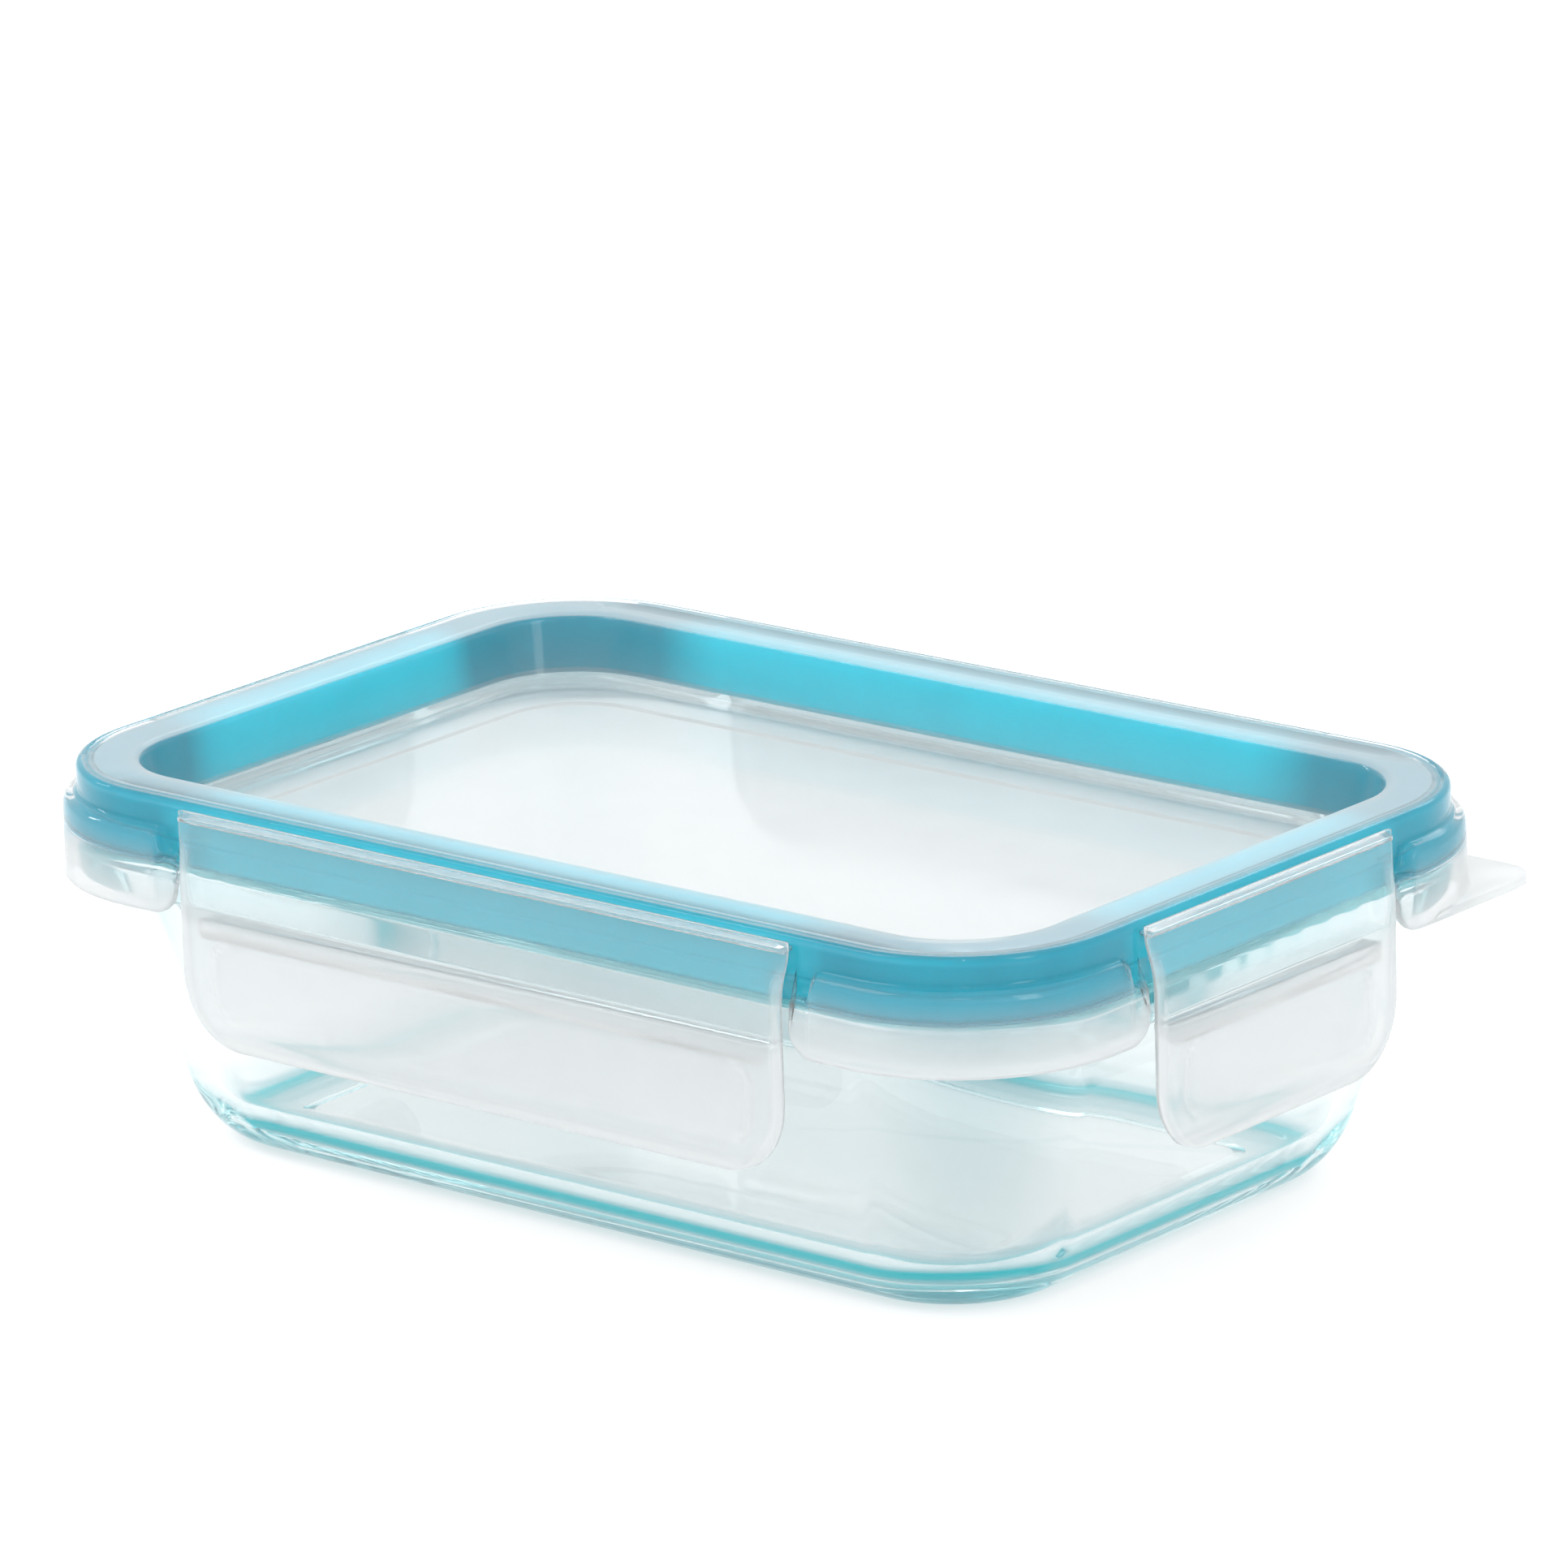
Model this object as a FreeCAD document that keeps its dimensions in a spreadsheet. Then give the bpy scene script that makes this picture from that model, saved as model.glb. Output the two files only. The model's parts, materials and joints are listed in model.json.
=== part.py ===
import FreeCAD, Part
import os
import Sketcher

# Glass food container with a moulded lid, a gasket and four hinged latches.
# Millimetres. The base stands on z = 0, the long side runs along X, +Z is up.

os.makedirs("parts", exist_ok=True)
doc = FreeCAD.newDocument("GlassContainer")
V = FreeCAD.Vector

# ---------------------------------------------------------------- sizes
sizes = [
    # lid outline, measured on the raised ridge
    ("ridgeLength", 190.0), ("ridgeWidth", 125.0), ("ridgeRadius", 25.0),
    ("ridgeBand", 9.8), ("ridgeWall", 1.3), ("ridgeTop", 1.5), ("ridgeEdge", 1.0),
    ("lidLift", 10.3),          # lid top above the glass rim
    # recess in the middle of the lid
    ("recessDepth", 10.8), ("recessDraft", 1.7), ("panelThickness", 1.5),
    ("panelInset", 20.5), ("panelStep", 0.4), ("panelRadius", 12.0),
    ("plugWall", 1.5),
    # corner skirts and pull tab
    ("skirtThickness", 1.3), ("skirtOffset", 1.1), ("skirtReach", 0.9), ("shoulderDrop", 4.5),
    ("tabReach", 2.6), ("tabThickness", 1.5), ("tabRadius", 6.0), ("tabSpan", 27.0),
    # glass dish
    ("rimHeight", 49.5), ("flangeHeight", 6.2), ("flangeInset", 0.7),
    ("sideOverhang", 1.5), ("endOverhang", 2.8), ("wallTaper", 14.5),
    ("mouthRadius", 25.0), ("baseRadius", 20.6), ("glassWall", 4.4), ("glassFloor", 4.6),
    ("heelRadius", 13.0), ("innerHeel", 9.0), ("rimRound", 1.5),
    ("underRound", 0.7),
    # gasket
    ("gasketPlay", 0.05), ("gasketSeat", 0.15), ("gasketWidth", 6.6), ("gasketRound", 1.6),
    # latches
    ("longLatch", 117.0), ("shortLatch", 58.0), ("latchThickness", 1.3), ("latchGap", 0.3),
    ("latchHeight", 34.4), ("latchBow", 1.1), ("bowHeight", 9.0), ("latchCorner", 11.0),
    ("hingeDrop", 2.0), ("slit", 0.8), ("latchLip", 0.5), ("lipHeight", 1.8),
    ("ribHeight", 2.0), ("ribGrip", 0.8), ("ribClearance", 0.2), ("ribEnd", 4.0),
    ("fingerHeight", 15.0), ("fingerMargin", 5.0), ("fingerDepth", 0.35), ("fingerRadius", 5.0),
    ("webThickness", 0.6), ("webClearance", 0.25),
]
# sizes that follow from the ones above
derived = [
    ("flangeBottom", "=rimHeight - flangeHeight"),
    ("lidTop", "=rimHeight + lidLift"),
    ("hingeHeight", "=lidTop - hingeDrop"),
    ("hingeOut", "=latchGap + latchThickness"),
    ("skirtBottom", "=flangeBottom - skirtReach"),
    ("ridgeBottom", "=rimHeight + 0.5"),
    ("channelTop", "=lidTop - ridgeTop"),
    ("recessFloor", "=lidTop - recessDepth"),
    ("panelBottom", "=recessFloor - panelThickness"),
    ("wallRun", "=flangeBottom * tan(wallTaper)"),
    ("cavityRun", "=(rimHeight - glassFloor) * tan(wallTaper)"),
    ("cavityFoot", "=glassFloor * tan(wallTaper)"),
]
sheet = doc.addObject("Spreadsheet::Sheet", "Sizes")
for row, (name, value) in enumerate(sizes + derived, start=1):
    sheet.set("A%d" % row, name)
    sheet.set("B%d" % row, str(value))
    sheet.setAlias("B%d" % row, name)
doc.recompute()


def ex(text):
    """Expression text with the sheet's name put before each alias."""
    out, word = "", ""
    names = {n for n, _ in sizes + derived}
    for ch in text + " ":
        if ch.isalnum():
            word += ch
            continue
        out += ("Sizes." + word if word in names else word) + ch
        word = ""
    return out.strip()


def val(obj, text):
    return float(obj.evalExpression(ex(text)))


# ---------------------------------------------------------------- helpers
def newBody(label):
    body = doc.addObject("PartDesign::Body", label)
    body.Label = label
    return body


def plane(body, role):
    return [f for f in body.Origin.OriginFeatures if f.Role == role][0]


def newSketch(body, name, role="XY_Plane", offset="0"):
    sk = body.newObject("Sketcher::SketchObject", name)
    sk.AttachmentSupport = [(plane(body, role), "")]
    sk.MapMode = "FlatFace"
    if offset != "0":
        sk.AttachmentOffset = FreeCAD.Placement(V(0, 0, val(sk, offset)), FreeCAD.Rotation())
        sk.setExpression("AttachmentOffset.Base.z", ex(offset))
    return sk


def datum(sk, constraint, text):
    """Add a dimension and tie it to the sheet."""
    index = sk.addConstraint(constraint)
    sk.setExpression("Constraints[%d]" % index, ex(text))


def outline(body, name, z, length, width, radius, role="XY_Plane", centre="0"):
    """Rounded rectangle about the origin, or about (0, centre) of its plane."""
    sk = newSketch(body, name, role, z)
    a, b, r = val(sk, length) / 2, val(sk, width) / 2, val(sk, radius)
    c = val(sk, centre)
    quarter = 1.5707963267948966
    corners = [(a - r, c + b - r, 0), (-a + r, c + b - r, 1),
               (-a + r, c - b + r, 2), (a - r, c - b + r, 3)]
    starts = [(a - r, c + b), (-a, c + b - r), (-a + r, c - b), (a, c - b + r)]
    ends = [(-a + r, c + b), (-a, c - b + r), (a - r, c - b), (a, c + b - r)]
    for i in range(4):
        sk.addGeometry(Part.LineSegment(V(*starts[i], 0), V(*ends[i], 0)), False)
    for x, y, turn in corners:
        circle = Part.Circle(V(x, y, 0), V(0, 0, 1), r)
        sk.addGeometry(Part.ArcOfCircle(circle, turn * quarter, (turn + 1) * quarter), False)
    top, left, bottom, right, ne, nw, sw, se = range(8)
    for line, point, arc, end in [(top, 1, ne, 2), (top, 2, nw, 1), (left, 1, nw, 2),
                                  (left, 2, sw, 1), (bottom, 1, sw, 2), (bottom, 2, se, 1),
                                  (right, 1, se, 2), (right, 2, ne, 1)]:
        sk.addConstraint(Sketcher.Constraint("Tangent", line, point, arc, end))
    sk.addConstraint(Sketcher.Constraint("Horizontal", bottom))
    sk.addConstraint(Sketcher.Constraint("Vertical", right))
    for arc in (nw, sw, se):
        sk.addConstraint(Sketcher.Constraint("Equal", ne, arc))
    datum(sk, Sketcher.Constraint("Radius", ne, r), radius)
    datum(sk, Sketcher.Constraint("DistanceX", left, 1, right, 1, 2 * a), length)
    datum(sk, Sketcher.Constraint("DistanceY", bottom, 1, top, 1, 2 * b), width)
    sk.addConstraint(Sketcher.Constraint("Symmetric", top, 1, top, 2, -2))
    if centre == "0":
        sk.addConstraint(Sketcher.Constraint("Symmetric", left, 1, left, 2, -1))
    else:
        sk.addConstraint(Sketcher.Constraint("Vertical", left))
        datum(sk, Sketcher.Constraint("DistanceY", -1, 1, bottom, 1, c - b),
              "%s - (%s) / 2" % (centre, width))
    doc.recompute()
    return sk


def ridgeOutline(body, name, z, inset):
    """The lid's outline at a height, moved inwards by an inset."""
    return outline(body, name, z, "ridgeLength - 2 * (%s)" % inset,
                   "ridgeWidth - 2 * (%s)" % inset, "ridgeRadius - (%s)" % inset)


def polygon(body, name, points, role, offset="0"):
    """Closed polygon whose corners are pairs of sheet expressions."""
    sk = newSketch(body, name, role, offset)
    xy = [V(val(sk, x), val(sk, y), 0) for x, y in points]
    for i, start in enumerate(xy):
        sk.addGeometry(Part.LineSegment(start, xy[(i + 1) % len(xy)]), False)
    for i in range(len(xy)):
        sk.addConstraint(Sketcher.Constraint("Coincident", i - 1 if i else len(xy) - 1, 2, i, 1))
    for i, (x, y) in enumerate(points):
        if x == "0":
            sk.addConstraint(Sketcher.Constraint("PointOnObject", i, 1, -2))
        else:
            datum(sk, Sketcher.Constraint("DistanceX", -1, 1, i, 1, xy[i].x), x)
        if y == "0":
            sk.addConstraint(Sketcher.Constraint("PointOnObject", i, 1, -1))
        else:
            datum(sk, Sketcher.Constraint("DistanceY", -1, 1, i, 1, xy[i].y), y)
    doc.recompute()
    return sk


def extrude(body, kind, name, sketch, length, reverse=False, middle=False):
    feature = body.newObject("PartDesign::" + kind, name)
    feature.Profile = sketch
    feature.setExpression("Length", ex(length))
    feature.Reversed = reverse
    feature.Refine = False
    if middle:
        feature.Midplane = True
    doc.recompute()
    return feature


def loft(body, kind, name, first, second):
    feature = body.newObject("PartDesign::" + kind, name)
    feature.Profile = first
    feature.Sections = [second]
    feature.Ruled = True
    feature.Refine = False
    doc.recompute()
    return feature


def edgesWhere(feature, test):
    found = []
    for i, edge in enumerate(feature.Shape.Edges, start=1):
        if test(edge, edge.BoundBox):
            found.append("Edge%d" % i)
    if not found:
        raise RuntimeError("no edge found for " + feature.Label)
    return found


def fillet(body, name, base, edges, radius):
    feature = body.newObject("PartDesign::Fillet", name)
    feature.Base = (base, edges)
    feature.Refine = False
    feature.setExpression("Radius", ex(radius))
    doc.recompute()
    return feature


def flatAt(z, tolerance=0.01):
    return lambda edge, box: abs(box.ZMin - z) < tolerance and abs(box.ZMax - z) < tolerance


# ---------------------------------------------------------------- glass dish
dish = newBody("glass_dish")
wallLength = "ridgeLength - 2 * (flangeInset + endOverhang)"
wallWidth = "ridgeWidth - 2 * (flangeInset + sideOverhang)"
foot = outline(dish, "DishFoot", "0", wallLength + " - 2 * wallRun",
               wallWidth + " - 2 * wallRun", "baseRadius")
mouth = outline(dish, "DishMouth", "flangeBottom", wallLength, wallWidth, "mouthRadius")
wall = loft(dish, "AdditiveLoft", "DishWall", foot, mouth)
flange = extrude(dish, "Pad", "Flange", ridgeOutline(dish, "FlangeOutline", "flangeBottom",
                                                    "flangeInset"), "flangeHeight")
cavityLength = wallLength + " - 2 * (wallRun + glassWall - cavityFoot)"
cavityWidth = wallWidth + " - 2 * (wallRun + glassWall - cavityFoot)"
cavityFoot = outline(dish, "CavityFoot", "glassFloor", cavityLength, cavityWidth,
                     "baseRadius - glassWall + cavityFoot")
cavityMouth = outline(dish, "CavityMouth", "rimHeight", cavityLength + " + 2 * cavityRun",
                      cavityWidth + " + 2 * cavityRun",
                      "mouthRadius - glassWall + cavityRun - wallRun + cavityFoot")
cavity = loft(dish, "SubtractiveLoft", "Cavity", cavityFoot, cavityMouth)
rim, under = val(sheet, "rimHeight"), val(sheet, "flangeBottom")
flangeX = val(sheet, "ridgeLength / 2 - flangeInset")
flangeY = val(sheet, "ridgeWidth / 2 - flangeInset")


def underFlange(edge, box):
    """Edges along the outside of the flange's underside."""
    far = max(box.XMax, -box.XMin) > flangeX - 0.05 or max(box.YMax, -box.YMin) > flangeY - 0.05
    return far and flatAt(under)(edge, box)


rimEdges = fillet(dish, "RimRound", cavity, edgesWhere(cavity, flatAt(rim)), "rimRound")
lip = fillet(dish, "UnderRound", rimEdges, edgesWhere(rimEdges, underFlange), "underRound")
inner = fillet(dish, "InnerHeel", lip, edgesWhere(lip, flatAt(val(sheet, "glassFloor"))),
               "innerHeel")
heel = fillet(dish, "DishHeel", inner, edgesWhere(inner, flatAt(0.0)), "heelRadius")
dish.Tip = heel

# ---------------------------------------------------------------- lid
lid = newBody("lid")
block = extrude(lid, "Pad", "SkirtBlock", ridgeOutline(lid, "SkirtOutline", "skirtBottom",
                                                      "0 - skirtThickness - skirtOffset"),
                "lidTop - shoulderDrop - skirtBottom")
shoulder = fillet(lid, "Shoulder", block,
                  edgesWhere(block, flatAt(val(sheet, "lidTop - shoulderDrop"))),
                  "skirtThickness * 0.9")
# pull tab: fills the corner outside the rounded skirt
farX, farY = "ridgeLength / 2 + tabReach", "ridgeWidth / 2 + tabReach"
tabSketch = polygon(lid, "TabOutline", [
    ("ridgeLength / 2 - tabSpan", "ridgeWidth / 2 - tabSpan"),
    ("ridgeLength / 2", "ridgeWidth / 2 - tabSpan"),
    (farX, "ridgeWidth / 2 - tabSpan + 3 * tabReach"), (farX, farY),
    ("ridgeLength / 2 - tabSpan + 3 * tabReach", farY),
    ("ridgeLength / 2 - tabSpan", "ridgeWidth / 2")], "XY_Plane", "skirtBottom")
tab = extrude(lid, "Pad", "PullTab", tabSketch, "tabThickness")
tabTip = fillet(lid, "TabTip", tab, edgesWhere(
    tab, lambda e, b: abs(b.XMin - val(sheet, farX)) < 0.01 and abs(b.YMin - val(sheet, farY)) < 0.01),
    "tabRadius")
# openings in the skirt for the latches
sideWindow = outline(lid, "SideWindows", "skirtBottom", "longLatch + 2 * slit",
                     "ridgeWidth + 20", "1")
sides = extrude(lid, "Pocket", "SideOpenings", sideWindow, "lidTop - skirtBottom", reverse=True)
endWindow = outline(lid, "EndWindows", "skirtBottom", "ridgeLength + 20",
                    "shortLatch + 2 * slit", "1")
ends = extrude(lid, "Pocket", "EndOpenings", endWindow, "lidTop - skirtBottom", reverse=True)
hollow = extrude(lid, "Pocket", "SkirtInside",
                 ridgeOutline(lid, "SkirtInner", "skirtBottom", "0 - skirtOffset"),
                 "ridgeBottom - skirtBottom", reverse=True)
ridge = extrude(lid, "Pad", "Ridge", ridgeOutline(lid, "RidgeOutline", "ridgeBottom", "0"),
                "lidTop - ridgeBottom")
channel = extrude(lid, "Pocket", "Channel",
                  ridgeOutline(lid, "ChannelOutline", "ridgeBottom", "ridgeWall"),
                  "channelTop - ridgeBottom", reverse=True)
plug = loft(lid, "AdditiveLoft", "Plug",
            ridgeOutline(lid, "PlugFoot", "panelBottom", "ridgeBand + recessDraft - plugWall"),
            ridgeOutline(lid, "PlugHead", "channelTop", "ridgeBand - plugWall"))
recess = loft(lid, "SubtractiveLoft", "Recess",
              ridgeOutline(lid, "RecessFloor", "recessFloor", "ridgeBand + recessDraft"),
              ridgeOutline(lid, "RecessMouth", "lidTop", "ridgeBand"))
step = extrude(lid, "Pocket", "PanelStep",
               outline(lid, "PanelOutline", "recessFloor", "ridgeLength - 2 * panelInset",
                       "ridgeWidth - 2 * panelInset", "panelRadius"), "panelStep")
topEdge = fillet(lid, "RidgeEdge", step, edgesWhere(step, flatAt(val(sheet, "lidTop"))), "ridgeEdge")
lid.Tip = topEdge

# ---------------------------------------------------------------- gasket
gasket = newBody("gasket")
ring = extrude(gasket, "Pad", "RingBlock",
               ridgeOutline(gasket, "RingOuter", "rimHeight + gasketSeat", "ridgeWall + gasketPlay"),
               "channelTop - rimHeight - gasketSeat")
bore = extrude(gasket, "Pocket", "RingBore",
               ridgeOutline(gasket, "RingInner", "rimHeight + gasketSeat",
                            "ridgeWall + gasketPlay + gasketWidth"),
               "channelTop - rimHeight - gasketSeat", reverse=True)
bead = fillet(gasket, "RingBead", bore,
              edgesWhere(bore, flatAt(val(sheet, "rimHeight + gasketSeat"))), "gasketRound")
gasket.Tip = bead


# ---------------------------------------------------------------- latches
# A latch is drawn as the front one: its hinge line is the local X axis and
# the outside of the container is local -Y.
def latch(label, length, placement):
    body = newBody(label)
    back = "latchThickness - latchBow"
    section = polygon(body, label + "Section", [
        ("0", "0"), ("0 - latchBow", "0 - bowHeight"), ("0 - latchBow", "0 - latchHeight"),
        (back + " + latchLip", "0 - latchHeight"), (back + " + latchLip", "lipHeight - latchHeight"),
        (back, "lipHeight + latchLip - latchHeight"), (back, "0 - bowHeight"),
        ("latchThickness", "0")], "YZ_Plane")
    plate = extrude(body, "Pad", label + "Plate", section, length, middle=True)
    ribTop = "flangeBottom - ribClearance - hingeHeight"
    tip = "hingeOut + flangeInset + ribGrip"
    rib = polygon(body, label + "RibSection", [
        (back + " - latchThickness / 2", ribTop), (tip, ribTop),
        (tip, ribTop + " - ribHeight / 2"), (back + " - latchThickness / 2", ribTop + " - ribHeight - 1")],
        "YZ_Plane")
    ribs = extrude(body, "Pad", label + "Rib", rib, length + " - 2 * ribEnd", middle=True)
    half, low = val(sheet, length) / 2, -val(sheet, "latchHeight")
    corners = fillet(body, label + "Corners", ribs, edgesWhere(
        ribs, lambda e, b: abs(abs(b.XMin) - half) < 0.01 and abs(b.XMax - b.XMin) < 0.01
        and abs(b.ZMin - low) < 0.01 and abs(b.ZMax - low) < 0.01), "latchCorner")
    finger = outline(body, label + "FingerOutline", "latchBow", length + " - 4 * fingerMargin",
                     "fingerHeight", "fingerRadius", "XZ_Plane",
                     "fingerMargin + fingerHeight / 2 - latchHeight")
    panel = extrude(body, "Pocket", label + "Finger", finger, "fingerDepth")
    body.Tip = panel
    body.Placement = placement
    return body


# The film hinge along the top of a latch, moulded on the ridge's side.
def hingeWeb(label, length, placement):
    body = newBody(label)
    section = polygon(body, label + "Section", [
        ("webClearance", "webClearance"), ("hingeOut", "webClearance"),
        ("hingeOut", "webClearance + webThickness"), ("webClearance", "webClearance + webThickness")],
        "YZ_Plane")
    body.Tip = extrude(body, "Pad", label + "Strip", section, length, middle=True)
    body.Placement = placement
    return body


z = val(sheet, "hingeHeight")
outX = val(sheet, "ridgeLength / 2 + hingeOut")
outY = val(sheet, "ridgeWidth / 2 + hingeOut")
sidesOfLid = [("front", "longLatch", V(0, -outY, z), 0), ("back", "longLatch", V(0, outY, z), 180),
              ("right", "shortLatch", V(outX, 0, z), 90), ("left", "shortLatch", V(-outX, 0, z), -90)]
latches, webs = [], []
for side, length, base, turn in sidesOfLid:
    place = FreeCAD.Placement(base, FreeCAD.Rotation(V(0, 0, 1), turn))
    latches.append(latch(side + "_latch", length, place))
    webs.append(hingeWeb(side + "_hinge_web", length, place))

# ---------------------------------------------------------------- check and write
doc.recompute()
for obj in doc.Objects:
    if any(flag in obj.State for flag in ("Invalid", "Error")):
        raise RuntimeError("%s failed: %s" % (obj.Label, obj.State))
for node in [dish, lid, gasket] + latches + webs:
    shape = node.Shape
    if shape.isNull() or not shape.isValid() or len(shape.Solids) != 1:
        raise RuntimeError("%s is not one valid solid" % node.Label)
    box = shape.BoundBox
    print("%-18s %9.0f mm3  x %7.2f %7.2f  y %7.2f %7.2f  z %6.2f %6.2f" % (
        node.Label, shape.Volume, box.XMin, box.XMax, box.YMin, box.YMax, box.ZMin, box.ZMax))
    shape.exportStep("parts/%s.step" % node.Label)
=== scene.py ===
import json
import math
import bpy
from mathutils import Matrix, Vector


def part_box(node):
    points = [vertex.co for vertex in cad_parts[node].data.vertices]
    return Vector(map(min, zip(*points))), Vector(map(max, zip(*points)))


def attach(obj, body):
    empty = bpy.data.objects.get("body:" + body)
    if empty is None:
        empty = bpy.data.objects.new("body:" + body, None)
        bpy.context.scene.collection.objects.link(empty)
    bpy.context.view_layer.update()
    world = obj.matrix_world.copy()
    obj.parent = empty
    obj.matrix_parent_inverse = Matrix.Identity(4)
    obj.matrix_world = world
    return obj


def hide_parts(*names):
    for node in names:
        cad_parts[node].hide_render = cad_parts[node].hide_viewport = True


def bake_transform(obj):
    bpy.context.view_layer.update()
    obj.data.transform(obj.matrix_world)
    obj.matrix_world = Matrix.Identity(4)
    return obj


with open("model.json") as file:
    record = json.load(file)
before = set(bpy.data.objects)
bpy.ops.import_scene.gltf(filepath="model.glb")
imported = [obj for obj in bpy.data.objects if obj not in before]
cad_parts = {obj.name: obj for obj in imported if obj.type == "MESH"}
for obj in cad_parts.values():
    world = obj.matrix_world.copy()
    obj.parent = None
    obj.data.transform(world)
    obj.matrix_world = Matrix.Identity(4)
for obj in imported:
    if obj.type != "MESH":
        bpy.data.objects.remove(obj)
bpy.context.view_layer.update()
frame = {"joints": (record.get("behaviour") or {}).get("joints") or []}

mm = 0.001
print("frame loaded")

viewSet = {"azimuth": 40.144, "elevation": 16.458, "distance": 1.5212, "roll": -1.78,
           "target": (0.00137, 0.00476, 0.05605), "lens": 233.2}


def placeCamera():
    a, e, r = (math.radians(viewSet[k]) for k in ("azimuth", "elevation", "roll"))
    back = Vector((math.sin(a) * math.cos(e), -math.cos(a) * math.cos(e), math.sin(e)))
    right = (-back).cross(Vector((0, 0, 1))).normalized()
    up = right.cross(-back)
    turnedRight = right * math.cos(r) + up * math.sin(r)
    turnedUp = up * math.cos(r) - right * math.sin(r)
    lensData = bpy.data.cameras.new("viewCamera")
    lensData.lens = viewSet["lens"]
    lensData.sensor_width = 36
    lensData.clip_start, lensData.clip_end = 0.05, 30
    camera = bpy.data.objects.new("viewCamera", lensData)
    bpy.context.scene.collection.objects.link(camera)
    spot = Vector(viewSet["target"]) + back * viewSet["distance"]
    camera.matrix_world = Matrix((
        (turnedRight.x, turnedUp.x, back.x, spot.x), (turnedRight.y, turnedUp.y, back.y, spot.y),
        (turnedRight.z, turnedUp.z, back.z, spot.z), (0, 0, 0, 1)))
    bpy.context.scene.camera = camera


lightSet = {"sky": 1.0, "horizon": 0.93, "floor": (0.50, 0.505, 0.51), "floorSize": 9.0,
            "tableGlow": 0.62, "exposure": 0.03, "skyHeight": 0.45, "bounces": 160,
            "diffuseBounces": 12, "clearBounces": 16, "fireflyClamp": 6}
# name, place, size, power, tint
softBoxes = [("keyBox", (-1.1, -1.3, 1.9), (1.4, 0.9), 15, (1, 1, 1)),
             ("sideBox", (2.1, -0.5, 1.0), (0.5, 1.3), 9, (0.96, 0.99, 1)),
             ("backBox", (-0.5, 1.9, 1.5), (1.8, 0.7), 10, (1, 1, 1)),
             ("cornerStrip", (-1.9, -0.42, 0.95), (0.12, 0.5), 4, (1, 1, 1)),
             ("cornerGlint", (0.9, -1.3, 1.5), (0.35, 0.1), 2, (1, 1, 1))]


def placeLights():
    world = bpy.data.worlds.new("studio")
    bpy.context.scene.world = world
    world.use_nodes = True
    nt = world.node_tree
    bg = nt.nodes["Background"]
    coords = nt.nodes.new("ShaderNodeTexCoord")
    split = nt.nodes.new("ShaderNodeSeparateXYZ")
    ramp = nt.nodes.new("ShaderNodeValToRGB")
    nt.links.new(coords.outputs["Generated"], split.inputs[0])
    nt.links.new(split.outputs["Z"], ramp.inputs[0])
    nt.links.new(ramp.outputs["Color"], bg.inputs["Color"])
    h, s = lightSet["horizon"], lightSet["sky"]
    ramp.color_ramp.elements[0].position = 0.0
    ramp.color_ramp.elements[0].color = (h, h * 1.005, h * 1.01, 1)
    ramp.color_ramp.elements[1].position = lightSet["skyHeight"]
    ramp.color_ramp.elements[1].color = (s, s, s, 1)
    for name, place, size, power, tint in softBoxes:
        lamp = bpy.data.lights.new(name, "AREA")
        lamp.shape, lamp.size, lamp.size_y = "RECTANGLE", size[0], size[1]
        lamp.energy, lamp.color = power, tint
        box = bpy.data.objects.new(name, lamp)
        box.location = place
        box.rotation_euler = (-Vector(place)).to_track_quat("-Z", "Y").to_euler()
        bpy.context.scene.collection.objects.link(box)
    view = bpy.context.scene.view_settings
    view.view_transform, view.look, view.exposure = "Standard", "None", lightSet["exposure"]
    cycles = bpy.context.scene.cycles
    # light runs a long way round inside a glass rim: cut short, it leaves black patches
    cycles.max_bounces = cycles.transmission_bounces = cycles.glossy_bounces = lightSet["bounces"]
    cycles.diffuse_bounces = lightSet["diffuseBounces"]
    cycles.transparent_max_bounces = lightSet["clearBounces"]
    cycles.sample_clamp_indirect = lightSet["fireflyClamp"]


placeCamera()
placeLights()
print("camera and lights placed")


class Tree:
    # a thin layer over a node tree: add(type, values) and link(a, b)
    def __init__(self, nt):
        self.nt = nt

    def add(self, kind, x=0, y=0, **values):
        node = self.nt.nodes.new(kind)
        node.location = (x, y)
        for key, value in values.items():
            setattr(node, key, value)
        return node

    def link(self, a, b):
        self.nt.links.new(a, b)


def newMaterial(name):
    mat = bpy.data.materials.new(name)
    mat.use_nodes = True
    mat.node_tree.nodes.clear()
    return mat, Tree(mat.node_tree)


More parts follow.
